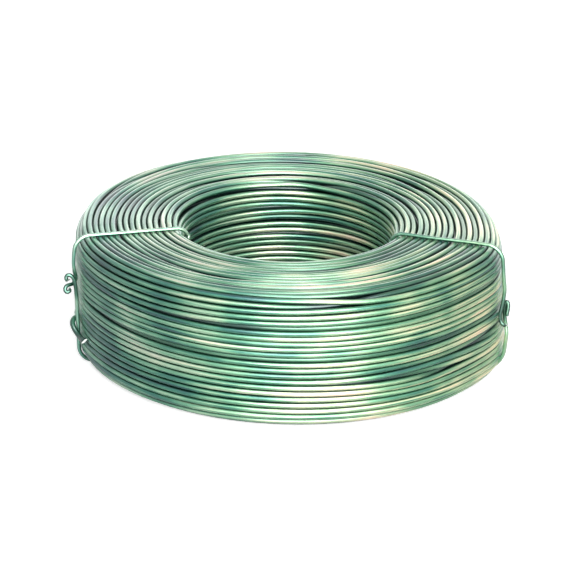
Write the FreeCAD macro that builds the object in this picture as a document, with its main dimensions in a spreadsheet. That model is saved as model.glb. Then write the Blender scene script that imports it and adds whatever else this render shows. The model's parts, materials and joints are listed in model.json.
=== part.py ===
import FreeCAD, Part
import math
import os

import Sketcher
from FreeCAD import Placement, Rotation, Vector

# Coil of tie wire: a bundle of round turns with an open bore, held together by two
# wire ties. The outer end of the wound wire is hooked round the left tie.
# The coil lies flat. Origin at the centre of its base, +Z up along the bore.
# Lengths are in millimetres and angles in degrees, counted from +X about +Z.

# Driving sizes

SIZES = (
    # the wound bundle
    ("wire_diameter", 1.6),
    ("coil_height", 40.0),
    ("coil_radius", 62.6),
    ("bore_radius", 30.7),
    ("top_edge", 5.2),          # how far the top's outer edge is rounded off
    ("base_edge", 6.2),
    ("bore_edge", 4.6),         # the same at both ends of the bore
    ("turn_pitch", 3.6),        # from one ridge of turns to the next, across the ends
    ("turn_relief", 0.9),       # depth of the valley between two ridges
    ("row_pitch", 4.8),         # from one ridge to the next, down the outer side
    ("row_relief", 1.0),
    ("seat_width", 9.0),        # flat ring under the lowest turns, which carries the coil
    # the two ties
    ("tie_diameter", 1.15),
    ("tie_clearance", 0.15),    # between a tie and the walls of the furrow it pulls into the bundle
    ("tie_proud", 0.7),         # how far a tie stands out of the top
    ("tie_sunk", 0.1),          # how far a tie lies below the base and behind the bore wall
    ("tie_bend", 4.6),          # bend radius of a tie, on its centre line
    ("twist_bend", 1.1),
    ("left_azimuth", 195.4),
    ("left_proud", 1.4),        # how far a tie stands out of the outer side, which it spans
    ("left_twist_height", 24.5),
    ("left_twist_length", 4.4),
    ("left_tail", 1.2),         # cut tails of the tie, beyond its twist
    ("right_azimuth", -17.0),
    ("right_proud", 2.3),
    ("right_twist_height", 18.4),
    ("right_twist_length", 7.0),
    ("right_tail", 1.6),
    # the free outer end of the wound wire
    ("hook_start_height", 14.4),
    ("hook_end_height", 9.4),   # the hook falls as it passes over the tie
    ("hook_root", 9.0),         # where it leaves the bundle, short of the tie
    ("hook_reach", 7.4),        # where it is cut off, past the tie
    ("hook_clearance", 0.15),
    ("hook_bend", 1.6),
)

# A corner broken in two slopes of 22.5 degrees has its middle point this far in, as a share of the edge
SLOPE_SHARE = 1 - math.sqrt(0.5)

doc = FreeCAD.newDocument("coil_of_wire")
sheet = doc.addObject("Spreadsheet::Sheet", "Sizes")
size = {}
for row, (alias, value) in enumerate(SIZES, start=1):
    sheet.set(f"A{row}", alias)
    sheet.set(f"B{row}", str(value))
    sheet.setAlias(f"B{row}", alias)
    size[alias] = value
doc.recompute()


# Sketch helpers

def origin_plane(body, role):
    for feature in body.Origin.OriginFeatures:
        if feature.Role == role:
            return feature
    raise ValueError(f"{body.Label} has no {role}")


def radial_sketch(body, name, azimuth=None):
    """A sketch in the plane that holds the coil's axis: across is the radius, up is the height."""
    sketch = body.newObject("Sketcher::SketchObject", name)
    sketch.AttachmentSupport = [(origin_plane(body, "XZ_Plane"), "")]
    sketch.MapMode = "FlatFace"
    if azimuth:
        turned = f"placement(vector(0; 0; 0); rotation(vector(0; 1; 0); Sizes.{azimuth}))"
        sketch.setExpression("AttachmentOffset", turned)
    return sketch


def draw_loop(sketch, points):
    """Closed outline of straight lines through the points; returns the index of its first line."""
    ends = points[1:] + points[:1]
    lines = [Part.LineSegment(Vector(*start, 0), Vector(*end, 0)) for start, end in zip(points, ends)]
    first = sketch.GeometryCount
    sketch.addGeometry(lines)
    joins = []
    for step in range(len(lines)):
        following = (step + 1) % len(lines)
        joins.append(Sketcher.Constraint("Coincident", first + step, 2, first + following, 1))
    sketch.addConstraint(joins)
    return first


def bind(sketch, kind, expression, *ends):
    """Adds a dimension between two points and ties it to the sheet."""
    index = sketch.addConstraint(Sketcher.Constraint(kind, *ends))
    sketch.setExpression(f"Constraints[{index}]", expression)


ORIGIN_POINT = (-1, 1)
BASE_LINE = -1


def place_point(sketch, line, across, up=None):
    """Holds a line's start at a radius and a height; with no height it lies on the base."""
    here = (line, 1)
    seed = sketch.getPoint(*here)
    bind(sketch, "DistanceX", across, *ORIGIN_POINT, *here, seed.x)
    if up:
        bind(sketch, "DistanceY", up, *ORIGIN_POINT, *here, seed.y)
    else:
        sketch.addConstraint(Sketcher.Constraint("PointOnObject", *here, BASE_LINE))


def ridge_count(span, pitch):
    """How many ridges of turns fit in a span of the section's outline."""
    return max(1, round(span / size[pitch]))


def zigzag(start, end, level, relief, steps):
    """Crest and valley points of the ridges, without the two end crests: how far along, how far out."""
    stride = (end - start) / (2 * steps)
    points = []
    for count in range(1, 2 * steps):
        out = level + relief if count % 2 else level
        points.append((start + count * stride, out))
    return points


def hold_zigzag(sketch, first, steps, direction):
    """Makes the slopes of a zigzag equal, its crests in line and its valleys in line."""
    rules = []
    for line in range(first + 1, first + 2 * steps):
        rules.append(Sketcher.Constraint("Equal", first, line))
    for line in range(first, first + 2 * steps - 2):
        rules.append(Sketcher.Constraint(direction, line, 2, line + 2, 2))
    sketch.addConstraint(rules)


# The wound bundle: one turned solid, with its turns as ridges on both ends and the outer side

def draw_section(sketch):
    bore = size["bore_radius"]
    height = size["coil_height"]
    outer = size["coil_radius"]
    bore_edge = size["bore_edge"]
    top_edge = size["top_edge"]
    base_edge = size["base_edge"]
    relief = size["turn_relief"]
    top_start = bore + bore_edge
    top_end = outer - top_edge
    seat_start = outer - base_edge - size["seat_width"]
    top_steps = ridge_count(top_end - top_start, "turn_pitch")
    base_steps = ridge_count(seat_start - top_start, "turn_pitch")
    side_steps = ridge_count(height - top_edge - base_edge, "row_pitch")

    top_ridges = zigzag(top_start, top_end, height, -relief, top_steps)
    base_ridges = zigzag(top_start, seat_start, 0, relief, base_steps)
    side_ridges = zigzag(height - top_edge, base_edge, outer, -size["row_relief"], side_steps)
    points = [
        (bore, bore_edge),
        (bore, height - bore_edge),
        (bore + SLOPE_SHARE * bore_edge, height - SLOPE_SHARE * bore_edge),
        (top_start, height),
        *top_ridges,
        (top_end, height),
        (outer - SLOPE_SHARE * top_edge, height - SLOPE_SHARE * top_edge),
        (outer, height - top_edge),
        *[(out, up) for up, out in side_ridges],
        (outer, base_edge),
        (outer - SLOPE_SHARE * base_edge, SLOPE_SHARE * base_edge),
        (outer - base_edge, 0),
        (seat_start, 0),
        *reversed(base_ridges),
        (top_start, 0),
        (bore + SLOPE_SHARE * bore_edge, SLOPE_SHARE * bore_edge),
    ]
    first = draw_loop(sketch, points)

    share = SLOPE_SHARE
    bore_wall = first
    top_zigzag = first + 3
    shoulder = top_zigzag + 2 * top_steps
    side_zigzag = shoulder + 2
    side_foot = side_zigzag + 2 * side_steps
    seat = side_foot + 2
    base_zigzag = seat + 1
    bore_foot = base_zigzag + 2 * base_steps
    place_point(sketch, bore_wall, "Sizes.bore_radius", "Sizes.bore_edge")
    place_point(sketch, bore_wall + 1, "Sizes.bore_radius", "Sizes.coil_height - Sizes.bore_edge")
    place_point(sketch, bore_wall + 2, f"Sizes.bore_radius + {share} * Sizes.bore_edge",
                f"Sizes.coil_height - {share} * Sizes.bore_edge")
    place_point(sketch, top_zigzag, "Sizes.bore_radius + Sizes.bore_edge", "Sizes.coil_height")
    place_point(sketch, shoulder, "Sizes.coil_radius - Sizes.top_edge", "Sizes.coil_height")
    place_point(sketch, shoulder + 1, f"Sizes.coil_radius - {share} * Sizes.top_edge",
                f"Sizes.coil_height - {share} * Sizes.top_edge")
    place_point(sketch, side_zigzag, "Sizes.coil_radius", "Sizes.coil_height - Sizes.top_edge")
    place_point(sketch, side_foot, "Sizes.coil_radius", "Sizes.base_edge")
    place_point(sketch, side_foot + 1, f"Sizes.coil_radius - {share} * Sizes.base_edge",
                f"{share} * Sizes.base_edge")
    place_point(sketch, seat, "Sizes.coil_radius - Sizes.base_edge")
    place_point(sketch, base_zigzag, "Sizes.coil_radius - Sizes.base_edge - Sizes.seat_width")
    place_point(sketch, bore_foot, "Sizes.bore_radius + Sizes.bore_edge")
    place_point(sketch, bore_foot + 1, f"Sizes.bore_radius + {share} * Sizes.bore_edge",
                f"{share} * Sizes.bore_edge")
    hold_zigzag(sketch, top_zigzag, top_steps, "Horizontal")
    hold_zigzag(sketch, side_zigzag, side_steps, "Vertical")
    hold_zigzag(sketch, base_zigzag, base_steps, "Horizontal")
    bind(sketch, "DistanceY", "Sizes.turn_relief", top_zigzag, 2, top_zigzag, 1, relief)
    bind(sketch, "DistanceX", "Sizes.row_relief", side_zigzag, 2, side_zigzag, 1, size["row_relief"])
    bind(sketch, "DistanceY", "Sizes.turn_relief", base_zigzag, 1, base_zigzag, 2, relief)


def make_winding():
    body = doc.addObject("PartDesign::Body", "winding")
    body.Label = "winding"
    section = radial_sketch(body, "winding_section")
    draw_section(section)
    turned = body.newObject("PartDesign::Revolution", "wound_turns")
    turned.Profile = section
    turned.ReferenceAxis = (section, ["V_Axis"])
    turned.Angle = 360
    doc.recompute()
    return body


# Furrows: each tie pulls the turns in and lies in a slot, from the top through the bore to the base

TIE_INNER = "Sizes.bore_radius + Sizes.tie_sunk + Sizes.tie_diameter + Sizes.tie_clearance"
TIE_FLOOR = "Sizes.tie_sunk + Sizes.tie_diameter + Sizes.tie_clearance"
TIE_ROOF = "Sizes.coil_height + Sizes.tie_proud - Sizes.tie_diameter - Sizes.tie_clearance"
TIE_OUTER = "Sizes.coil_radius + Sizes.{side}_proud - Sizes.tie_diameter - Sizes.tie_clearance"
FURROW_BEND = "Sizes.tie_bend - Sizes.tie_diameter / 2 - Sizes.tie_clearance"
FURROW_MARGIN = 4.0


def draw_rounded(sketch, corners, radius):
    """Closed outline, anticlockwise, with an arc at each corner; returns its first line and first arc."""
    count = len(corners)
    arrivals = []
    leavings = []
    arcs = []
    for step, corner in enumerate(corners):
        inward = (corners[step - 1] - corner).normalize()
        outward = (corners[(step + 1) % count] - corner).normalize()
        half_turn = (math.pi - inward.getAngle(outward)) / 2
        cut = radius * math.tan(half_turn)
        centre = corner + (inward + outward).normalize() * (radius / math.cos(half_turn))
        arrival = corner + inward * cut
        leaving = corner + outward * cut
        start_angle = math.atan2(arrival.y - centre.y, arrival.x - centre.x)
        circle = Part.Circle(centre, Vector(0, 0, 1), radius)
        arcs.append(Part.ArcOfCircle(circle, start_angle, start_angle + 2 * half_turn))
        arrivals.append(arrival)
        leavings.append(leaving)
    lines = []
    for step in range(count):
        lines.append(Part.LineSegment(leavings[step], arrivals[(step + 1) % count]))
    first = sketch.GeometryCount
    first_arc = first + count
    sketch.addGeometry(lines + arcs)
    rules = []
    for step in range(count):
        following = first_arc + (step + 1) % count
        rules.append(Sketcher.Constraint("Tangent", first + step, 2, following, 1))
        rules.append(Sketcher.Constraint("Tangent", first_arc + step, 2, first + step, 1))
        if step:
            rules.append(Sketcher.Constraint("Equal", first_arc, first_arc + step))
    sketch.addConstraint(rules)
    return first, first_arc


def cut_furrow(body, side):
    thick = size["tie_diameter"] + size["tie_clearance"]
    sunk = size["tie_sunk"] + thick
    inner = size["bore_radius"] + sunk
    roof = size["coil_height"] + size["tie_proud"] - thick
    outer = size["coil_radius"] + size[f"{side}_proud"] - thick
    bend = size["tie_bend"] - size["tie_diameter"] / 2 - size["tie_clearance"]
    name = f"{side}_furrow"
    sketch = radial_sketch(body, f"{name}_sketch", f"{side}_azimuth")
    corners = [
        Vector(inner, sunk, 0),
        Vector(outer, sunk, 0),
        Vector(outer, roof, 0),
        Vector(inner, roof, 0),
    ]
    floor_line, first_arc = draw_rounded(sketch, corners, bend)
    side_line = floor_line + 1
    roof_line = floor_line + 2
    bore_line = floor_line + 3
    bind(sketch, "Radius", FURROW_BEND, first_arc, bend)
    sketch.addConstraint([
        Sketcher.Constraint("Horizontal", floor_line),
        Sketcher.Constraint("Horizontal", roof_line),
        Sketcher.Constraint("Vertical", bore_line),
        Sketcher.Constraint("Vertical", side_line),
    ])
    bind(sketch, "DistanceY", TIE_FLOOR, *ORIGIN_POINT, floor_line, 1, sunk)
    bind(sketch, "DistanceY", TIE_ROOF, *ORIGIN_POINT, roof_line, 1, roof)
    bind(sketch, "DistanceX", TIE_INNER, *ORIGIN_POINT, bore_line, 1, inner)
    bind(sketch, "DistanceX", TIE_OUTER.format(side=side), *ORIGIN_POINT, side_line, 1, outer)
    near = size["bore_radius"] - FURROW_MARGIN
    far = size["coil_radius"] + FURROW_MARGIN
    top = size["coil_height"] + FURROW_MARGIN
    rim = draw_loop(sketch, [(near, -FURROW_MARGIN), (near, top), (far, top), (far, -FURROW_MARGIN)])
    rules = []
    for line in (rim, rim + 2):
        rules.append(Sketcher.Constraint("Vertical", line))
    for line in (rim + 1, rim + 3):
        rules.append(Sketcher.Constraint("Horizontal", line))
    sketch.addConstraint(rules)
    bind(sketch, "DistanceX", f"Sizes.bore_radius - {FURROW_MARGIN}", *ORIGIN_POINT, rim, 1, near)
    bind(sketch, "DistanceX", f"Sizes.coil_radius + {FURROW_MARGIN}", *ORIGIN_POINT, rim + 2, 1, far)
    bind(sketch, "DistanceY", f"Sizes.coil_height + {FURROW_MARGIN}", *ORIGIN_POINT, rim, 2, top)
    bind(sketch, "DistanceY", f"{FURROW_MARGIN}", rim, 1, *ORIGIN_POINT, FURROW_MARGIN)
    furrow = body.newObject("PartDesign::Pocket", name)
    furrow.Profile = sketch
    furrow.SideType = "Symmetric"
    furrow.setExpression("Length", "Sizes.tie_diameter + 2 * Sizes.tie_clearance")
    before = body.Shape.Volume
    body.Tip = furrow
    doc.recompute()
    if sketch.FullyConstrained is False:
        print(sketch.Label, "is not fully held")
    print(name, "cuts", round(before - body.Shape.Volume, 1), "mm3")


# Bent wires: straight runs joined by tangent arcs, with the wire's section swept along them

WIRE_SIDES = 8


def bent_path(points, radii):
    """Wire through the points, each inner corner rounded by its own radius."""
    edges = []
    start = points[0]
    for before, corner, after, radius in zip(points, points[1:], points[2:], radii):
        inward = (before - corner).normalize()
        outward = (after - corner).normalize()
        half_turn = (math.pi - inward.getAngle(outward)) / 2
        cut = radius * math.tan(half_turn)
        arc_start = corner + inward * cut
        arc_end = corner + outward * cut
        bisector = (inward + outward).normalize()
        centre = corner + bisector * (radius / math.cos(half_turn))
        arc_middle = centre - bisector * radius
        edges.append(Part.LineSegment(start, arc_start).toShape())
        edges.append(Part.Arc(arc_start, arc_middle, arc_end).toShape())
        start = arc_end
    edges.append(Part.LineSegment(start, points[-1]).toShape())
    return Part.Wire(edges)


def swept_wire(points, radii, diameter, name):
    """Wire swept along a bent path. Its section is a polygon as large as the round wire."""
    path = bent_path(points, radii)
    heading = (points[1] - points[0]).normalize()
    across = heading.cross(Vector(0, 0, 1)).normalize()
    upright = across.cross(heading)
    step = 2 * math.pi / WIRE_SIDES
    area = math.pi * diameter ** 2 / 4
    corner_radius = math.sqrt(2 * area / (WIRE_SIDES * math.sin(step)))
    ring = []
    for count in range(WIRE_SIDES + 1):
        angle = (count + 0.5) * step
        offset = across * math.cos(angle) + upright * math.sin(angle)
        ring.append(points[0] + offset * corner_radius)
    solid = path.makePipeShell([Part.makePolygon(ring)], True, True)
    print(name, "length", round(path.Length, 1), "volume over section times length",
          round(solid.Volume / (area * path.Length), 4))
    return solid


def make_tie(name, side, toward):
    """A tie round the bundle; its two ends are twisted once and cut. toward is +1 or -1:
    the side, round the coil, on which the lower strand passes the upper one."""
    radius = size["tie_diameter"] / 2
    inner = size["bore_radius"] + size["tie_sunk"] + radius
    floor = size["tie_sunk"] + radius
    roof = size["coil_height"] + size["tie_proud"] - radius
    outer = size["coil_radius"] + size[f"{side}_proud"] - radius
    tail = size[f"{side}_tail"]
    pass_by = toward * (radius + size["tie_clearance"] / 2)
    stand_off = outer + 2 * radius
    half = size[f"{side}_twist_length"] / 2
    middle = size[f"{side}_twist_height"]
    points = [
        Vector(stand_off + tail, 0, middle + half),
        Vector(stand_off, pass_by, middle),
        Vector(outer, 0, middle - half),
        Vector(outer, 0, floor),
        Vector(inner, 0, floor),
        Vector(inner, 0, roof),
        Vector(outer, 0, roof),
        Vector(outer, 0, middle + half),
        Vector(stand_off, -pass_by, middle),
        Vector(stand_off + tail, 0, middle - half),
    ]
    bend = size["tie_bend"]
    small = size["twist_bend"]
    radii = [small, small, bend, bend, bend, bend, small, small]
    tie = doc.addObject("Part::Feature", name)
    tie.Label = name
    tie.Shape = swept_wire(points, radii, size["tie_diameter"], name)
    tie.Placement = Placement(Vector(0, 0, 0), Rotation(Vector(0, 0, 1), size[f"{side}_azimuth"]))
    return tie


def make_hook():
    """The outer end of the wound wire: out of the bundle, over the left tie and cut off."""
    wire = size["wire_diameter"]
    tie_line = size["coil_radius"] + size["left_proud"] - size["tie_diameter"] / 2
    over = tie_line + (size["tie_diameter"] + wire) / 2 + size["hook_clearance"]
    root = size["hook_root"]
    reach = size["hook_reach"]
    side = size["coil_radius"] + wire / 2 + size["hook_clearance"]
    sunk = size["coil_radius"] - wire
    start_height = size["hook_start_height"]
    end_height = size["hook_end_height"]
    points = [
        Vector(math.sqrt(sunk ** 2 - root ** 2), -root, start_height),
        Vector(over, -wire, start_height),
        Vector(over, wire, end_height),
        Vector(math.sqrt(side ** 2 - reach ** 2), reach, end_height),
    ]
    bend = size["hook_bend"]
    hook = doc.addObject("Part::Feature", "free_end")
    hook.Label = "free_end"
    hook.Shape = swept_wire(points, [bend, bend], wire, "free_end")
    hook.Placement = Placement(Vector(0, 0, 0), Rotation(Vector(0, 0, 1), size["left_azimuth"]))
    return hook


def make_coil():
    winding = make_winding()
    cut_furrow(winding, "left")
    cut_furrow(winding, "right")
    coil = doc.addObject("Part::Fuse", "wire_coil")
    coil.Label = "wire_coil"
    coil.Base = winding
    coil.Tool = make_hook()
    doc.recompute()
    return coil


def check(thing):
    troubles = [state for state in thing.State if state in ("Invalid", "Error")]
    if troubles:
        raise ValueError(f"{thing.Label} is {troubles}")


sub_parts = [
    make_coil(),
    make_tie("tie_left", "left", 1),
    make_tie("tie_right", "right", -1),
]
doc.recompute()

for thing in doc.Objects:
    check(thing)

os.makedirs("parts", exist_ok=True)
for sub_part in sub_parts:
    shape = sub_part.Shape
    if shape.isNull() or not shape.isValid():
        raise ValueError(f"{sub_part.Label} has no valid shape")
    box = shape.BoundBox
    print(sub_part.Label, "solids", len(shape.Solids), "volume", round(shape.Volume, 1),
          "x", round(box.XMin, 2), round(box.XMax, 2), "y", round(box.YMin, 2), round(box.YMax, 2),
          "z", round(box.ZMin, 2), round(box.ZMax, 2))
    shape.exportStep(f"parts/{sub_part.Label}.step")
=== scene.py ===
import json
import math

import bpy
import numpy as np
from mathutils import Matrix, Vector


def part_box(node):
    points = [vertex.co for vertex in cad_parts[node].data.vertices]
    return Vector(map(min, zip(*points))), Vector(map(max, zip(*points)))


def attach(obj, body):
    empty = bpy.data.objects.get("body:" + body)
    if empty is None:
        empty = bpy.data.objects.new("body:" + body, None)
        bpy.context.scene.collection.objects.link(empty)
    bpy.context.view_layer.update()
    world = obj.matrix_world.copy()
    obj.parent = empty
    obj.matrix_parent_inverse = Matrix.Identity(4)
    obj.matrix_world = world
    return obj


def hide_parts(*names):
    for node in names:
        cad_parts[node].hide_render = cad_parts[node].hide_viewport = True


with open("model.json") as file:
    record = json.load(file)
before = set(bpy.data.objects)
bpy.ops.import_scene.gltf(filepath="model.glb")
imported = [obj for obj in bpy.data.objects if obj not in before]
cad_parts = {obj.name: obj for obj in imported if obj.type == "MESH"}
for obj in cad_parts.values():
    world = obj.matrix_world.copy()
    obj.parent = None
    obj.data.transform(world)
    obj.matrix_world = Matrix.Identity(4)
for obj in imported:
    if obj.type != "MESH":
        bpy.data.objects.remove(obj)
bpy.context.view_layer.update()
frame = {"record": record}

# A coil of tie wire: one long wire wound in a few hundred turns, and two wire ties.
# Lengths are in millimetres until a mesh is made, angles in degrees from +X about +Z.

MM = 0.001
SEED = 11

# The bundle, from the frame

coil_low, coil_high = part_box("wire_coil")
HEIGHT = (coil_high[2] - coil_low[2]) / MM
OUTER = coil_high[1] / MM
BORE = frame["record"]["mounts"][0]["dims"]["r_mm"]
MEAN_RADIUS = (BORE + OUTER) / 2
WIRE_RADIUS = 0.8
TIE_RADIUS = 0.575
LEFT_AZIMUTH = 195.4         # where the ties hold the bundle
RIGHT_AZIMUTH = -17.0

# Its section: the radius of each edge, and how far the ties pull the turns in

TOP_EDGE = 5.6
BASE_EDGE = 5.0
BORE_EDGE = 4.4
PINCH_BORE = 0.5
PINCH_BASE = 1.3
PINCH_TOP = 0.8
PINCH_REACH = 7.0            # this far from a tie, its pull is down to about a third

# How the whole bundle is out of true

SLUMP = 0.8                  # how much more its radius is at the base than at the top
LEAN = 0.8                   # how far its base and its top are shifted sideways, in opposite directions
SQUEEZE = 0.35               # how far the ties pull its two sides in
BULGES = ((LEFT_AZIMUTH, 0.5), (RIGHT_AZIMUTH, 1.7))
BULGE_REACH = 13.0

# How the wire is wound

LAYERS = 18                  # from the bore to the outer side
ROW_PITCH = 1.86             # from one turn to the next in a layer
ROW_SHIFT = 0.25             # of a pitch: even layers start that much lower, odd layers higher
START_SLACK = 0.35           # how far outside the section a turn may start
STATIONS = 96                # places round the coil where the turns are settled
SEAM = 186.0                 # where the wire starts and where its last turn ends
STATION_ANGLES = SEAM + np.arange(STATIONS) * 360 / STATIONS
WANDER_ALONG = 26            # stations from one random value to the next
WANDER_OUT = 0.8
WANDER_UP = 0.8

# How the turns settle against each other

SETTLE_STEPS = 110
LAST_STEPS = 9               # steps at the end in which the turns are mostly pushed apart
PAIR_STEPS = 15              # steps from one search for neighbours to the next
PAIR_REACH = 4 * WIRE_RADIUS
TOUCHING = 2 * WIRE_RADIUS
ROOMY = 1.84                 # distance that neighbouring turns keep where there is room
TOUCH_PUSH = 0.38            # share of an overlap that each of two turns gives way in a step
ROOMY_PUSH = 0.08
NEAR_SURFACE = 1.6           # turns up to this deep are drawn to the surface
SURFACE_PULL = 0.12
MOST_RECESS = 0.4            # how far below the surface a turn may stay
STIFFNESS = 0.8              # share of each kink that is taken out in a step
LATE_STIFFNESS = 0.35
HOME_PULL = 0.01             # share of the way back to where a turn was wound

# The last turn leaves its row, crosses the others at the back and sinks in near the left tie

FREE_HEIGHT = 13.2           # of its end
LIFT = 1.35                  # how far it stands out while it crosses the others
LIFT_START = 190.0           # how far round it has come, here and in the next four
LIFT_END = 202.0
CROSS_START = 205.0
CROSS_END = 320.0
SINK_END = 350.0


def away_from(angles, azimuth):
    """How far each angle is from an azimuth, either way round."""
    return np.abs((angles - azimuth + 180) % 360 - 180)


def pinch_at(angles):
    """At each angle, the share of the ties' full pull."""
    away = np.minimum(away_from(angles, LEFT_AZIMUTH), away_from(angles, RIGHT_AZIMUTH))
    return np.exp(-away / PINCH_REACH)


def section_gap(out, up, pinch, inset):
    """Distance outside the section less inset, below zero inside, and the direction outwards."""
    near = BORE + PINCH_BORE * pinch
    base = PINCH_BASE * pinch
    top = HEIGHT - PINCH_TOP * pinch
    x = out - (near + OUTER) / 2
    y = up - (base + top) / 2
    edge = np.where(x > 0, np.where(y > 0, TOP_EDGE, BASE_EDGE), BORE_EDGE) - inset
    across = np.abs(x) - ((OUTER - near) / 2 - inset - edge)
    along = np.abs(y) - ((top - base) / 2 - inset - edge)
    corner = np.hypot(np.maximum(across, 0), np.maximum(along, 0))
    gap = corner + np.minimum(np.maximum(across, along), 0) - edge
    in_corner = (across > 0) & (along > 0)
    divisor = np.where(corner > 0, corner, 1)
    toward_x = np.where(in_corner, across / divisor, across > along) * np.sign(x)
    toward_y = np.where(in_corner, along / divisor, along >= across) * np.sign(y)
    return gap, toward_x, toward_y


def first_places():
    """Radius and height of each turn, in the order in which the wire is wound."""
    layer_pitch = (OUTER - BORE - 2 * WIRE_RADIUS) / (LAYERS - 1)
    rows = int((HEIGHT - 2 * WIRE_RADIUS) / ROW_PITCH) + 1
    places = []
    for layer in range(LAYERS):
        odd = layer % 2
        out = BORE + WIRE_RADIUS + layer * layer_pitch
        shift = ROW_SHIFT if odd else -ROW_SHIFT
        ups = [HEIGHT / 2 + (row - (rows - 1) / 2 + shift) * ROW_PITCH for row in range(rows)]
        if odd:
            ups.reverse()
        for up in ups:
            gap = section_gap(np.array(out), np.array(up), 0.0, WIRE_RADIUS)[0]
            if gap < START_SLACK:
                places.append((out, up))
    return np.array(places)


def smooth_noise(count, step, size, random):
    """A random curve with count values: a cubic B-spline with one random knot for each step."""
    knots = random.normal(0, size, count // step + 4)
    at = np.arange(count) / step
    base = at.astype(int)
    t = at - base
    p0, p1, p2, p3 = (knots[base + k] for k in range(4))
    return ((1 - t) ** 3 * p0 + (3 * t ** 3 - 6 * t ** 2 + 4) * p1
            + (-3 * t ** 3 + 3 * t ** 2 + 3 * t + 1) * p2 + t ** 3 * p3) / 6


def ease(value, start, end):
    """From 0 at start to 1 at end, level at both."""
    t = np.clip((value - start) / (end - start), 0, 1)
    return t * t * (3 - 2 * t)


def wound_places(places, random):
    """The wire as wound: radius and height at every station, from each turn's place to the next."""
    following = np.vstack([places[1:], places[-1:]])
    share = (np.arange(STATIONS) / STATIONS)[None, :, None]
    wound = (places[:, None] * (1 - share) + following[:, None] * share).reshape(-1, 2)
    wound[:, 0] += smooth_noise(len(wound), WANDER_ALONG, WANDER_OUT, random)
    wound[:, 1] += smooth_noise(len(wound), WANDER_ALONG, WANDER_UP, random)
    return wound


def last_turn_path(wound):
    """Where the last turn is held, and how firmly, at each of its stations."""
    turned = np.arange(STATIONS) * 360 / STATIONS
    path = wound[-STATIONS:].copy()
    firm = ease(turned, LIFT_START, LIFT_END)
    lifted = firm * (1 - ease(turned, CROSS_END, SINK_END))
    path[:, 0] = OUTER - WIRE_RADIUS + LIFT * lifted
    path[:, 1] = path[0, 1] + ease(turned, CROSS_START, CROSS_END) * (FREE_HEIGHT - path[0, 1])
    return path, firm[:, None]


def near_pairs(points, reach):
    """Index pairs of points at the same station that lie within reach of each other."""
    turns, stations = points.shape[:2]
    firsts = []
    seconds = []
    for station in range(stations):
        here = points[:, station]
        apart = np.hypot(here[:, None, 0] - here[None, :, 0], here[:, None, 1] - here[None, :, 1])
        one, two = np.nonzero(np.triu(apart < reach, 1))
        firsts.append(one * stations + station)
        seconds.append(two * stations + station)
    return np.concatenate(firsts), np.concatenate(seconds)


def push_apart(points, one, two):
    """Moves points that are too near each other. Returns how far apart the pairs were before."""
    apart = points[one] - points[two]
    length = np.maximum(np.hypot(apart[:, 0], apart[:, 1]), 1e-6)
    touch = np.maximum(TOUCHING - length, 0)
    crowd = np.maximum(ROOMY - length, 0)
    push = apart / length[:, None] * (TOUCH_PUSH * touch + ROOMY_PUSH * crowd)[:, None]
    for axis in range(2):
        points[:, axis] += np.bincount(one, push[:, axis], len(points))
        points[:, axis] -= np.bincount(two, push[:, axis], len(points))
    return length


def press_to_surface(points, pinch, recess):
    """Moves points outside the section back onto it, and draws those just inside towards it."""
    gap, toward_x, toward_y = section_gap(points[:, 0], points[:, 1], pinch, WIRE_RADIUS)
    near = np.clip((NEAR_SURFACE + gap) / NEAR_SURFACE, 0, 1)
    inwards = np.maximum(gap, 0) - SURFACE_PULL * near * np.maximum(-gap - recess, 0)
    points[:, 0] -= inwards * toward_x
    points[:, 1] -= inwards * toward_y


def bending(points):
    """From each point to the weighted mean of itself and two neighbours on each side."""
    bend = np.zeros_like(points)
    bend[2:-2] = (points[:-4] + points[4:] + 4 * (points[1:-3] + points[3:-1]) - 10 * points[2:-2]) / 16
    return bend


def settle_turns():
    """Centre line of the whole wire: radius and height at each station of each turn."""
    random = np.random.default_rng(SEED)
    places = first_places()
    turns = len(places)
    wound = wound_places(places, random)
    recess = np.repeat(random.uniform(0.0, MOST_RECESS, turns), STATIONS)
    pinch = np.tile(pinch_at(STATION_ANGLES), turns)
    held, firm = last_turn_path(wound)
    points = wound.copy()
    for step in range(SETTLE_STEPS):
        if step % PAIR_STEPS == 0:
            one, two = near_pairs(points.reshape(turns, STATIONS, 2), PAIR_REACH)
        length = push_apart(points, one, two)
        press_to_surface(points, pinch, recess)
        late = step >= SETTLE_STEPS - LAST_STEPS
        points += (LATE_STIFFNESS if late else STIFFNESS) * bending(points)
        if not late:
            points += HOME_PULL * (wound - points)
        # The last turn is held once the others have mostly settled
        if step > SETTLE_STEPS // 2:
            points[-STATIONS:] += firm * (held - points[-STATIONS:])
    print("turns", turns, "largest overlap", round(float(TOUCHING - length.min()), 2))
    return points.reshape(turns, STATIONS, 2)


def bundle_place(angles, out, up):
    """Points of the slumped, leaning bundle, in the frame's axes."""
    level = 0.5 - up / HEIGHT
    share = (out - BORE) / (OUTER - BORE)
    a = np.radians(angles)
    bulge = sum(most * np.exp(-(away_from(angles, azimuth) / BULGE_REACH) ** 2)
                for azimuth, most in BULGES)
    radius = out + share * (SLUMP * level - SQUEEZE * np.cos(2 * a) + bulge)
    return np.stack([radius * np.cos(a) + 2 * LEAN * level, radius * np.sin(a), up], -1)


# Meshes. A tube is its vertices, its faces and what the finish reads at each vertex.

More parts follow.
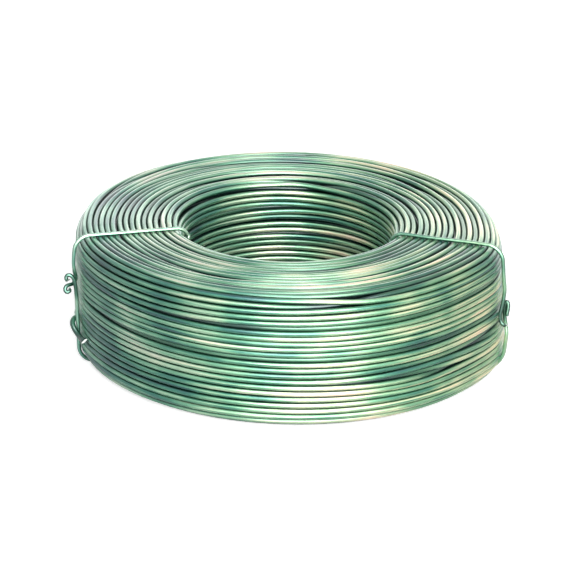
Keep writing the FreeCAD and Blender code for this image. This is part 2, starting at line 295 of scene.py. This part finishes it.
def make_mesh(name, vertices, face_sets, values):
    """Object with a mesh in metres. Each face set is an index array with one number of corners."""
    mesh = bpy.data.meshes.new(name)
    mesh.vertices.add(len(vertices))
    mesh.vertices.foreach_set("co", (np.asarray(vertices) * MM).astype(np.float32).ravel())
    corners = np.concatenate([faces.ravel() for faces in face_sets]).astype(np.int32)
    sizes = np.concatenate([np.full(len(faces), faces.shape[1]) for faces in face_sets])
    mesh.loops.add(len(corners))
    mesh.loops.foreach_set("vertex_index", corners)
    mesh.polygons.add(len(sizes))
    mesh.polygons.foreach_set("loop_start", (np.cumsum(sizes) - sizes).astype(np.int32))
    mesh.update(calc_edges=True)
    mesh.polygons.foreach_set("use_smooth", np.ones(len(sizes), bool))
    for key, value in values.items():
        kind, field = ("FLOAT_VECTOR", "vector") if value.ndim == 2 else ("FLOAT", "value")
        layer = mesh.attributes.new(key, kind, "POINT")
        layer.data.foreach_set(field, value.astype(np.float32).ravel())
    thing = bpy.data.objects.new(name, mesh)
    bpy.context.scene.collection.objects.link(thing)
    return thing


def wire_values(place, depth, tint, cut=0.0):
    """What the finish reads at each vertex. depth, which sets the painted shade, is one value or one for
    each vertex.
    """
    count = len(place)
    return {
        "wire_place": place,
        "painted_shade_depth": np.broadcast_to(depth, count),
        "wire_tint": np.full(count, tint),
        "wire_cut": np.full(count, cut),
    }


def tube_faces(rings, sides):
    """Faces of an open tube whose vertices are in rings of the given number of sides."""
    ring = np.arange(rings - 1)[:, None] * sides
    side = np.arange(sides)[None]
    after = (side + 1) % sides
    faces = np.stack([ring + side, ring + sides + side, ring + sides + after, ring + after], -1)
    return faces.reshape(-1, 4)


def join_tubes(name, tubes):
    """One object from several tubes and cut faces."""
    base = 0
    grouped = {}
    for vertices, faces, _ in tubes:
        grouped.setdefault(faces.shape[1], []).append(faces + base)
        base += len(vertices)
    face_sets = [np.concatenate(group) for group in grouped.values()]
    values = {key: np.concatenate([tube[2][key] for tube in tubes]) for key in tubes[0][2]}
    return make_mesh(name, np.concatenate([tube[0] for tube in tubes]), face_sets, values)


def turn_tube(line, sides, stride, turn, tint):
    """One turn of the wire. line is the stations of one turn and the first of the next."""
    angles = SEAM + np.arange(0, len(line), stride) * 360 / STATIONS
    line = line[::stride]
    phase = np.arange(sides) * 2 * math.pi / sides
    out = line[:, 0, None] + WIRE_RADIUS * np.cos(phase)[None]
    up = line[:, 1, None] + WIRE_RADIUS * np.sin(phase)[None]
    around = np.repeat(angles[:, None], sides, 1)
    vertices = bundle_place(around, out, up).reshape(-1, 3)
    along = np.repeat(np.radians(angles + 360 * turn)[:, None] * MEAN_RADIUS, sides, 1)
    place = np.stack([along, out - line[:, 0, None], up - line[:, 1, None]], -1).reshape(-1, 3)
    # How deep each vertex lies below the bundle's surface, which sets its painted shade
    depth = -section_gap(out, up, pinch_at(around), 0.0)[0]
    return vertices, tube_faces(len(line), sides), wire_values(place, depth.ravel(), tint)


def smooth_line(points, spacing):
    """Catmull-Rom curve through the points, in steps of about the given length."""
    points = np.asarray(points, float)
    padded = np.vstack([2 * points[0] - points[1], points, 2 * points[-1] - points[-2]])
    line = []
    for k in range(len(points) - 1):
        p0, p1, p2, p3 = padded[k:k + 4]
        steps = max(1, round(float(np.linalg.norm(p2 - p1)) / spacing))
        t = (np.arange(steps) / steps)[:, None]
        line.append(0.5 * (2 * p1 + (p2 - p0) * t + (2 * p0 - 5 * p1 + 4 * p2 - p3) * t ** 2
                           + (3 * p1 - p0 - 3 * p2 + p3) * t ** 3))
    return np.vstack(line + [points[-1:]])


def axes_along(line):
    """Two directions across the line at each of its points, carried along it without twist."""
    ahead = np.gradient(line, axis=0)
    ahead /= np.linalg.norm(ahead, axis=1)[:, None]
    across = np.cross(ahead[0], (0.0, 0.0, 1.0))
    if np.linalg.norm(across) < 0.1:
        across = np.cross(ahead[0], (0.0, 1.0, 0.0))
    firsts = []
    seconds = []
    for direction in ahead:
        across = across - direction * np.dot(across, direction)
        across = across / np.linalg.norm(across)
        firsts.append(across)
        seconds.append(np.cross(direction, across))
    return np.array(firsts), np.array(seconds)


NIP_LENGTH = 0.9             # a cutter leaves the end of a wire pinched to an edge
NIP_SHARE = 0.35             # of its thickness
END_SHADE = 0.75              # painted shade: a bent end is as dark as wire this deep in the bundle
END_LENGTH = 7.0             # along this much of the wire
END_BRIGHT = 14.0            # how far from a cut end the wire is as bright as the rest


def cut_face(rim, at_start, tint):
    """Bright cut face of a wire on its first or last ring of points."""
    sides = len(rim)
    step = np.arange(sides)
    fan = np.stack([np.full(sides, sides), step, (step + 1) % sides], -1)
    if at_start:
        fan = fan[:, ::-1]
    face = np.vstack([rim, rim.mean(0, keepdims=True)])
    return face, fan, wire_values(face, 0.0, tint, 1.0)


def free_tube(line, radius, sides, tint, cut_start=True, cut_end=True):
    """Round wire along a free line, with its cut ends nipped, darkened with painted shade and closed by
    cut faces.
    """
    first, second = axes_along(line)
    along = np.concatenate([[0], np.cumsum(np.linalg.norm(np.diff(line, axis=0), axis=1))])
    narrow = np.ones(len(line))
    end_shade = np.zeros(len(line))
    for from_end, cut in ((along, cut_start), (along[-1] - along, cut_end)):
        if cut:
            narrow = np.minimum(narrow, 1 - (1 - NIP_SHARE) * (1 - ease(from_end, 0, NIP_LENGTH)))
            end_shade = np.maximum(end_shade, END_SHADE * (1 - ease(from_end, END_LENGTH, END_BRIGHT)))
    phase = np.arange(sides) * 2 * math.pi / sides
    x = radius * np.cos(phase)[None] * (2 - narrow[:, None]) ** 0.5
    y = radius * np.sin(phase)[None] * narrow[:, None]
    rings = line[:, None] + first[:, None] * x[..., None] + second[:, None] * y[..., None]
    place = np.stack([np.repeat(along[:, None], sides, 1), x, y], -1).reshape(-1, 3)
    values = wire_values(place, np.repeat(end_shade, sides), tint)
    parts = [(rings.reshape(-1, 3), tube_faces(len(line), sides), values)]
    if cut_start:
        parts.append(cut_face(rings[0], True, tint))
    if cut_end:
        parts.append(cut_face(rings[-1], False, tint))
    return parts


# The ties and the free end. Their points are in the tie's own axes: outwards, round the coil, up.

def tie_place(points, azimuth):
    """From a tie's own axes to the frame's."""
    points = np.asarray(points, float)
    a = math.radians(azimuth)
    x = points[:, 0] * math.cos(a) - points[:, 1] * math.sin(a)
    y = points[:, 0] * math.sin(a) + points[:, 1] * math.cos(a)
    return np.stack([x, y, points[:, 2]], -1)


def corner(centre, bend, start, end, steps=6):
    """Points of a bend in a tie's plane, from one direction to another."""
    points = []
    for angle in np.radians(np.linspace(start, end, steps)):
        points.append((centre[0] + bend * math.cos(angle), 0.0, centre[1] + bend * math.sin(angle)))
    return points


FLOOR_CLEARANCE = 0.08
TOP_WAVE = 4.0               # a tie's top run bends a little this far on each side of its middle


def tie_loop(outer_low, outer_high, bend_low, bend_high, bend_bore):
    """The part of a tie that runs under the coil, up its bore and over its top."""
    inner = BORE + PINCH_BORE - TIE_RADIUS
    under = TIE_RADIUS + FLOOR_CLEARANCE
    over = HEIGHT - PINCH_TOP + TIE_RADIUS
    middle = (outer_high + inner) / 2
    return [
        *corner((outer_low - bend_low, under + bend_low), bend_low, 0, -90),
        ((outer_low + inner) / 2, 0.0, under),
        *corner((inner + bend_bore, under + bend_bore), bend_bore, -90, -180),
        (inner, 0.1, HEIGHT / 2),
        *corner((inner + bend_bore, over - bend_bore), bend_bore, -180, -270),
        (middle - TOP_WAVE, -0.15, over - 0.05),
        (middle + TOP_WAVE, 0.1, over),
        *corner((outer_high - bend_high, over - bend_high), bend_high, 90, 0),
    ]


LEFT_TIE = [
    (66.5, 1.3, 27.0),
    (66.95, 0.8, 26.8),
    (67.1, 0.4, 27.5),
    (66.6, 0.4, 28.15),
    (65.7, 0.6, 28.0),
    (64.9, 0.8, 26.9),
    (64.5, 0.8, 25.3),
    (64.1, 0.5, 22.0),
    (63.7, 0.1, 16.0),
    (63.4, 0.0, 10.5),
    *tie_loop(outer_low=63.2, outer_high=64.6, bend_low=5.0, bend_high=4.6, bend_bore=3.6),
    (64.75, -0.1, 32.0),
    (64.45, -0.5, 29.0),
    (63.95, -0.8, 26.9),
    (64.2, -0.8, 25.7),
    (65.0, -0.4, 25.0),
    (66.1, 0.1, 25.0),
    (67.1, 0.5, 24.7),
    (67.5, 0.9, 23.9),
    (67.0, 1.25, 23.2),
    (66.2, 1.3, 23.6),
    (66.3, 1.2, 24.4),
]

RIGHT_TIE = [
    (66.2, -0.6, 18.7),
    (66.35, -0.2, 19.6),
    (66.5, 0.2, 21.2),
    (66.3, 0.5, 22.4),
    (65.8, 0.6, 22.7),
    (65.4, 0.6, 21.6),
    (65.3, 0.6, 20.0),
    (65.4, 0.6, 18.3),
    (65.7, 0.5, 16.5),
    (66.1, 0.3, 14.7),
    (66.3, 0.0, 12.5),
    *tie_loop(outer_low=66.0, outer_high=64.5, bend_low=8.5, bend_high=5.0, bend_bore=3.8),
    (64.8, 0.0, 31.0),
    (65.25, 0.0, 27.2),
    (65.2, 0.0, 25.1),
    (65.05, -0.3, 23.3),
    (64.85, -0.6, 21.8),
    (64.6, -0.9, 20.3),
    (64.5, -1.1, 18.9),
    (64.65, -1.2, 17.5),
    (65.2, -1.3, 16.5),
    (66.0, -1.4, 16.1),
    (66.8, -1.5, 16.1),
]

# From the end of the last turn, round the left tie, to the cut end
FREE_END = [
    (62.2, -7.2, 13.2),
    (62.6, -4.8, 13.5),
    (63.3, -2.6, 13.8),
    (64.3, -1.4, 13.8),
    (65.05, -0.3, 13.1),
    (65.0, 0.8, 12.0),
    (64.4, 1.8, 10.8),
    (63.8, 3.2, 9.9),
    (63.5, 5.2, 9.7),
    (63.2, 7.4, 10.0),
]

FREE_END_SIDES = 12
FREE_END_STEP = 0.8
FREE_END_TINT = 0.3
TIE_SIDES = 16
TIE_STEP = 0.3
TIE_SHADE = 1.0              # a tie has painted shade up to this distance from the turns

# The turns are fine where they show and plain inside the bundle
TIERS = (
    # how deep a turn's least deep place is at most, sides of its tube, stations for each ring
    (1.9, 10, 1),
    (3.8, 6, 2),
    (math.inf, 4, 2),
)


def tube_tier(depth):
    """Sides of a turn's tube and stations for each ring."""
    return next(tier[1:] for tier in TIERS if depth < tier[0])


def make_turns(points):
    """All turns but the last, in three pieces, from the bore outwards."""
    gap = section_gap(points[..., 0], points[..., 1], pinch_at(STATION_ANGLES), WIRE_RADIUS)[0]
    depth = -gap.max(1)
    after = np.concatenate([points[1:, :1], points[-1:, -1:]])
    closed = np.concatenate([points, after], 1)
    tints = np.random.default_rng(SEED + 1).random(len(points))
    tubes = []
    for turn, line in enumerate(closed[:-1]):
        tubes.append(turn_tube(line, *tube_tier(depth[turn]), turn, tints[turn]))
    first_ring = tubes[0][0][:tube_tier(depth[0])[0]]
    start = cut_face(first_ring, True, tints[0])
    third = len(tubes) // 3
    return [
        join_tubes("coil_inner_turns", tubes[:third] + [start]),
        join_tubes("coil_middle_turns", tubes[third:2 * third]),
        join_tubes("coil_outer_turns", tubes[2 * third:]),
    ]


def make_free_end(points):
    """The last turn, with the wire's end hooked round the left tie."""
    last = bundle_place(STATION_ANGLES, points[-1, :, 0], points[-1, :, 1])
    line = smooth_line(np.vstack([last, tie_place(FREE_END, LEFT_AZIMUTH)]), FREE_END_STEP)
    parts = free_tube(line, WIRE_RADIUS, FREE_END_SIDES, FREE_END_TINT, cut_start=False)
    return join_tubes("coil_free_end", parts)


def make_tie(name, points, azimuth, tint):
    """A tie, with painted shade on the side that faces the turns."""
    line = smooth_line(tie_place(points, azimuth), TIE_STEP)
    parts = free_tube(line, TIE_RADIUS, TIE_SIDES, tint)
    for vertices, _, values in parts:
        out = np.hypot(vertices[:, 0], vertices[:, 1])
        gap = section_gap(out, vertices[:, 2], 1.0, 0.0)[0]
        values["painted_shade_depth"] = np.maximum(values["painted_shade_depth"], np.clip(TIE_SHADE - gap, 0, 1))
    return join_tubes(name, parts)


# The finish of the wire. In a list of colours, each number is the shade that has the colour.

COIL_COLOURS = (
    (0.0, (0.004, 0.08, 0.08)),
    (0.24, (0.03, 0.185, 0.125)),
    (0.5, (0.19, 0.37, 0.22)),
    (0.72, (0.45, 0.52, 0.36)),
    (0.9, (0.68, 0.60, 0.42)),
    (1.0, (0.78, 0.58, 0.48)),
)
TIE_COLOURS = (
    (0.0, (0.03, 0.17, 0.13)),
    (0.5, (0.22, 0.40, 0.28)),
    (1.0, (0.78, 0.70, 0.50)),
)
COIL_ROUGHNESS = 0.46
TIE_ROUGHNESS = 0.32
LEFT_TIE_TINT = 1.0
RIGHT_TIE_TINT = 0.1

ROUGHNESS_BELOW = 0.1
ROUGHNESS_ABOVE = 0.14

LEFT_SIDE_SHADE = (0.52, 0.80, 0.86)         # painted shade: the wire's colour is multiplied by this at the coil's left side, darker and bluer
RIGHT_SIDE_LIGHT = (1.08, 1.02, 0.88)      # and by this at its right side, painted light that makes it lighter and yellower
FLANK_SHADE = (0.17, 0.39, 0.33)   # painted shade: and by this on the flanks between turns, more and more over these depths
FLANK_DEPTHS = (0.1, 0.55)
# Painted shade: the wire goes over to this near-black green in the gaps between turns, over these depths
GAP_SHADE = (0.003, 0.028, 0.026)
GAP_DEPTHS = (0.45, 1.1)
CUT_METAL = (0.75, 0.76, 0.72)

CLOUD_SCALE = (48, 48, 70)         # for each metre of the bundle
PATCH_SCALE = (0.022, 0.3, 0.3)    # for each millimetre along and across the wire, as the next two
STREAK_SCALE = (0.05, 2.2, 2.2)
SPECK_SCALE = (1.4, 2.6, 2.6)
CLOUD_WEIGHT = 1.6
PATCH_WEIGHT = 1.4
STREAK_WEIGHT = 1.4
TINT_WEIGHT = 0.22
SPECK_HEIGHT = 0.6                 # of the streaks' height in the bump
BUMP_DISTANCE = 0.12 * MM


def node(tree, kind, **settings):
    """A new node with the given properties."""
    made = tree.nodes.new(kind)
    for key, value in settings.items():
        setattr(made, key, value)
    return made


def feed(tree, socket, value):
    """Gives a socket a number, a colour or a link from another node's output."""
    if isinstance(value, tuple):
        socket.default_value = (*value, 1)
    elif isinstance(value, (int, float)):
        socket.default_value = value
    else:
        tree.links.new(value, socket)


def read_attribute(tree, name, output="Fac"):
    """What the mesh says at each point under the given name."""
    return node(tree, "ShaderNodeAttribute", attribute_name=name).outputs[output]


def noise(tree, place, scale, detail=2.0, roughness=0.5):
    """Noise that is stretched by a scale along each axis."""
    mapping = node(tree, "ShaderNodeMapping")
    mapping.inputs["Scale"].default_value = scale
    feed(tree, mapping.inputs["Vector"], place)
    texture = node(tree, "ShaderNodeTexNoise")
    texture.inputs["Scale"].default_value = 1.0
    texture.inputs["Detail"].default_value = detail
    texture.inputs["Roughness"].default_value = roughness
    feed(tree, texture.inputs["Vector"], mapping.outputs["Vector"])
    return texture.outputs["Fac"]


def calculate(tree, operation, *values):
    """The result of a Math node."""
    made = node(tree, "ShaderNodeMath", operation=operation)
    for socket, value in zip(made.inputs, values):
        feed(tree, socket, value)
    return made.outputs["Value"]


def spread(tree, value, start, end, low=0.0, high=1.0, kind="LINEAR"):
    """From low where the value is start to high where it is end."""
    made = node(tree, "ShaderNodeMapRange", interpolation_type=kind)
    limits = {"Value": value, "From Min": start, "From Max": end, "To Min": low, "To Max": high}
    for key, limit in limits.items():
        feed(tree, made.inputs[key], limit)
    return made.outputs["Result"]


def blend_colours(tree, share, first, second, blend="MIX"):
    """Two colours mixed, by a Mix node's sockets 0 for the share, 6 and 7 for colours, and output 2."""
    made = node(tree, "ShaderNodeMix", data_type="RGBA", blend_type=blend)
    feed(tree, made.inputs[0], share)
    feed(tree, made.inputs[6], first)
    feed(tree, made.inputs[7], second)
    return made.outputs[2]


def colour_ramp(tree, value, colours):
    """The colour that a list of colours gives for a value."""
    ramp = node(tree, "ShaderNodeValToRGB")
    elements = ramp.color_ramp.elements
    while len(elements) < len(colours):
        elements.new(0.5)
    for element, (position, colour) in zip(elements, colours):
        element.position = position
        element.color = (*colour, 1)
    feed(tree, ramp.inputs["Fac"], value)
    return ramp.outputs["Color"]


def wire_shade(tree, place_on_wire, place_in_bundle, streaks):
    """How bright each stretch of wire is, about 0.5 on average."""
    clouds = noise(tree, place_in_bundle, CLOUD_SCALE)
    patches = noise(tree, place_on_wire, PATCH_SCALE)
    shade = 0.5
    for source, weight in (
            (clouds, CLOUD_WEIGHT),
            (patches, PATCH_WEIGHT),
            (streaks, STREAK_WEIGHT),
            (read_attribute(tree, "wire_tint"), TINT_WEIGHT)):
        centred = calculate(tree, "SUBTRACT", source, 0.5)
        shade = calculate(tree, "MULTIPLY_ADD", centred, weight, shade)
    return shade


def wire_colour(tree, shade, place_in_bundle, colours):
    """The wire's colour: painted shade that makes it darker and bluer at the left and painted light at the
    right, painted shade on its flanks and darker still in the gaps, bright where cut.
    """
    axes = node(tree, "ShaderNodeSeparateXYZ")
    feed(tree, axes.inputs["Vector"], place_in_bundle)
    # Painted light and shade by side: darker and bluer at the left, lighter and yellower at the right
    across = spread(tree, axes.outputs["X"], -OUTER * MM, OUTER * MM)
    side_light_and_shade = blend_colours(tree, across, LEFT_SIDE_SHADE, RIGHT_SIDE_LIGHT)
    colour = blend_colours(tree, 1.0, colour_ramp(tree, shade, colours), side_light_and_shade, "MULTIPLY")
    # Painted shade: darker green on the flanks of the turns and near-black green in the gaps, by depth
    # below the surface
    depth = read_attribute(tree, "painted_shade_depth")
    flank_shade = spread(tree, depth, *FLANK_DEPTHS, kind="SMOOTHSTEP")
    colour = blend_colours(tree, flank_shade, colour, FLANK_SHADE, "MULTIPLY")
    gap_shade = spread(tree, depth, *GAP_DEPTHS, kind="SMOOTHSTEP")
    colour = blend_colours(tree, gap_shade, colour, GAP_SHADE)
    return blend_colours(tree, read_attribute(tree, "wire_cut"), colour, CUT_METAL)


def wire_finish(name, colours, roughness):
    """Galvanised wire: metal under a clear coat, lighter and darker in streaks and patches."""
    material = bpy.data.materials.new(name)
    material.use_nodes = True
    tree = material.node_tree
    shader = tree.nodes["Principled BSDF"]
    shader.inputs["Metallic"].default_value = 0.9
    shader.inputs["Coat Weight"].default_value = 1.0
    shader.inputs["Coat IOR"].default_value = 1.6
    shader.inputs["Coat Roughness"].default_value = 0.28
    place_on_wire = read_attribute(tree, "wire_place", "Vector")
    place_in_bundle = node(tree, "ShaderNodeTexCoord").outputs["Object"]
    streaks = noise(tree, place_on_wire, STREAK_SCALE, detail=3.0, roughness=0.6)
    specks = noise(tree, place_on_wire, SPECK_SCALE)
    shade = wire_shade(tree, place_on_wire, place_in_bundle, streaks)
    colour = wire_colour(tree, shade, place_in_bundle, colours)
    feed(tree, shader.inputs["Base Color"], colour)
    rough = spread(tree, streaks, 0.0, 1.0, roughness - ROUGHNESS_BELOW, roughness + ROUGHNESS_ABOVE)
    feed(tree, shader.inputs["Roughness"], rough)
    bump = node(tree, "ShaderNodeBump")
    bump.inputs["Strength"].default_value = 0.35
    bump.inputs["Distance"].default_value = BUMP_DISTANCE
    feed(tree, bump.inputs["Height"], calculate(tree, "MULTIPLY_ADD", specks, SPECK_HEIGHT, streaks))
    feed(tree, shader.inputs["Normal"], bump.outputs["Normal"])
    return material


# The pieces

coil_finish = wire_finish("coil_wire_finish", COIL_COLOURS, COIL_ROUGHNESS)
tie_finish = wire_finish("tie_wire_finish", TIE_COLOURS, TIE_ROUGHNESS)

turn_points = settle_turns()
for thing in (*make_turns(turn_points), make_free_end(turn_points)):
    thing.data.materials.append(coil_finish)
    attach(thing, "root")
    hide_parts("wire_coil")

for name, points, azimuth, tint, solid in (
        ("left_tie_wire", LEFT_TIE, LEFT_AZIMUTH, LEFT_TIE_TINT, "tie_left"),
        ("right_tie_wire", RIGHT_TIE, RIGHT_AZIMUTH, RIGHT_TIE_TINT, "tie_right")):
    thing = make_tie(name, points, azimuth, tint)
    thing.data.materials.append(tie_finish)
    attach(thing, "root")
    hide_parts(solid)


# Floor, light and camera

scene = bpy.context.scene
scene.view_settings.view_transform = "Standard"

LAMPS = (
    # name, azimuth, elevation, distance, width and height in metres, radiance
    ("key", -80, 30, 0.8, 0.72, 0.8, 10.6),
    ("fill_right", -20, 35, 1.4, 0.9, 0.7, 0.4),
    ("backdrop", 84, 14, 1.4, 1.5, 0.6, 2.0),
)
FLOOR_REACH = 4000
FLOOR_GREY = 0.6
FLOOR_GLOW = 0.68            # only the camera sees it, so that the floor is white behind the coil
WORLD_LIGHT = 0.1            # the world's strength where the camera, gloss and glass don't see it


def floor_finish():
    """Pale matt floor."""
    material = bpy.data.materials.new("floor_finish")
    material.use_nodes = True
    tree = material.node_tree
    shader = tree.nodes["Principled BSDF"]
    shader.inputs["Base Color"].default_value = (FLOOR_GREY, FLOOR_GREY, FLOOR_GREY, 1)
    shader.inputs["Roughness"].default_value = 0.8
    shader.inputs["Specular IOR Level"].default_value = 0.1
    shader.inputs["Emission Color"].default_value = (1, 1, 1, 1)
    rays = node(tree, "ShaderNodeLightPath")
    glow = calculate(tree, "MULTIPLY", rays.outputs["Is Camera Ray"], FLOOR_GLOW)
    feed(tree, shader.inputs["Emission Strength"], glow)
    return material


def studio_world():
    """White to the camera and in reflections, and a weak even light otherwise."""
    world = bpy.data.worlds.new("studio")
    world.use_nodes = True
    tree = world.node_tree
    background = tree.nodes["Background"]
    background.inputs["Color"].default_value = (1, 1, 1, 1)
    rays = node(tree, "ShaderNodeLightPath")
    seen = calculate(tree, "MAXIMUM", rays.outputs["Is Camera Ray"], rays.outputs["Is Glossy Ray"])
    seen = calculate(tree, "MAXIMUM", seen, rays.outputs["Is Transmission Ray"])
    feed(tree, background.inputs["Strength"], spread(tree, seen, 0.0, 1.0, WORLD_LIGHT, 1.0))
    return world


def lamp(name, azimuth, elevation, distance, width, height, radiance):
    """A flat softbox facing the coil, in metres, as bright as the given radiance."""
    light = bpy.data.lights.new(name, "AREA")
    light.shape = "RECTANGLE"
    light.size = width
    light.size_y = height
    light.energy = radiance * math.pi * width * height
    thing = bpy.data.objects.new(name, light)
    a = math.radians(azimuth)
    e = math.radians(elevation)
    thing.location = Vector((math.cos(a) * math.cos(e), math.sin(a) * math.cos(e), math.sin(e))) * distance
    thing.rotation_euler = thing.location.to_track_quat("Z", "Y").to_euler()
    thing.visible_camera = False
    scene.collection.objects.link(thing)


floor_corners = np.array([(-1, -1, 0), (1, -1, 0), (1, 1, 0), (-1, 1, 0)]) * FLOOR_REACH
floor = make_mesh("floor", floor_corners, [np.array([[0, 1, 2, 3]])], {})
floor.data.materials.append(floor_finish())
scene.world = studio_world()
for values in LAMPS:
    lamp(*values)

CAMERA_DISTANCE = 1.24       # metres
CAMERA_ELEVATION = 21.6
CAMERA_ROLL = 1.08
CAMERA_PIXELS = 4216         # focal length in pixels of the photograph's frame
FRAME_PIXELS = 576
AIM_PIXEL = (289.1, 282.5)   # where the photograph shows the coil's middle


def make_camera():
    """The photograph's camera, aimed at the coil's middle."""
    data = bpy.data.cameras.new("camera")
    camera = bpy.data.objects.new("camera", data)
    scene.collection.objects.link(camera)
    data.sensor_width = 36
    data.lens = CAMERA_PIXELS * data.sensor_width / FRAME_PIXELS
    data.shift_x = (FRAME_PIXELS / 2 - AIM_PIXEL[0]) / FRAME_PIXELS
    data.shift_y = (AIM_PIXEL[1] - FRAME_PIXELS / 2) / FRAME_PIXELS
    middle = Vector((0, 0, HEIGHT / 2 * MM))
    tilt = math.radians(CAMERA_ELEVATION)
    camera.location = middle + Vector((0, -math.cos(tilt), math.sin(tilt))) * CAMERA_DISTANCE
    aim = (middle - camera.location).to_track_quat("-Z", "Y").to_matrix().to_4x4()
    roll = Matrix.Rotation(math.radians(CAMERA_ROLL), 4, "Z")
    camera.matrix_world = Matrix.Translation(camera.location) @ aim @ roll
    return camera


scene.camera = make_camera()
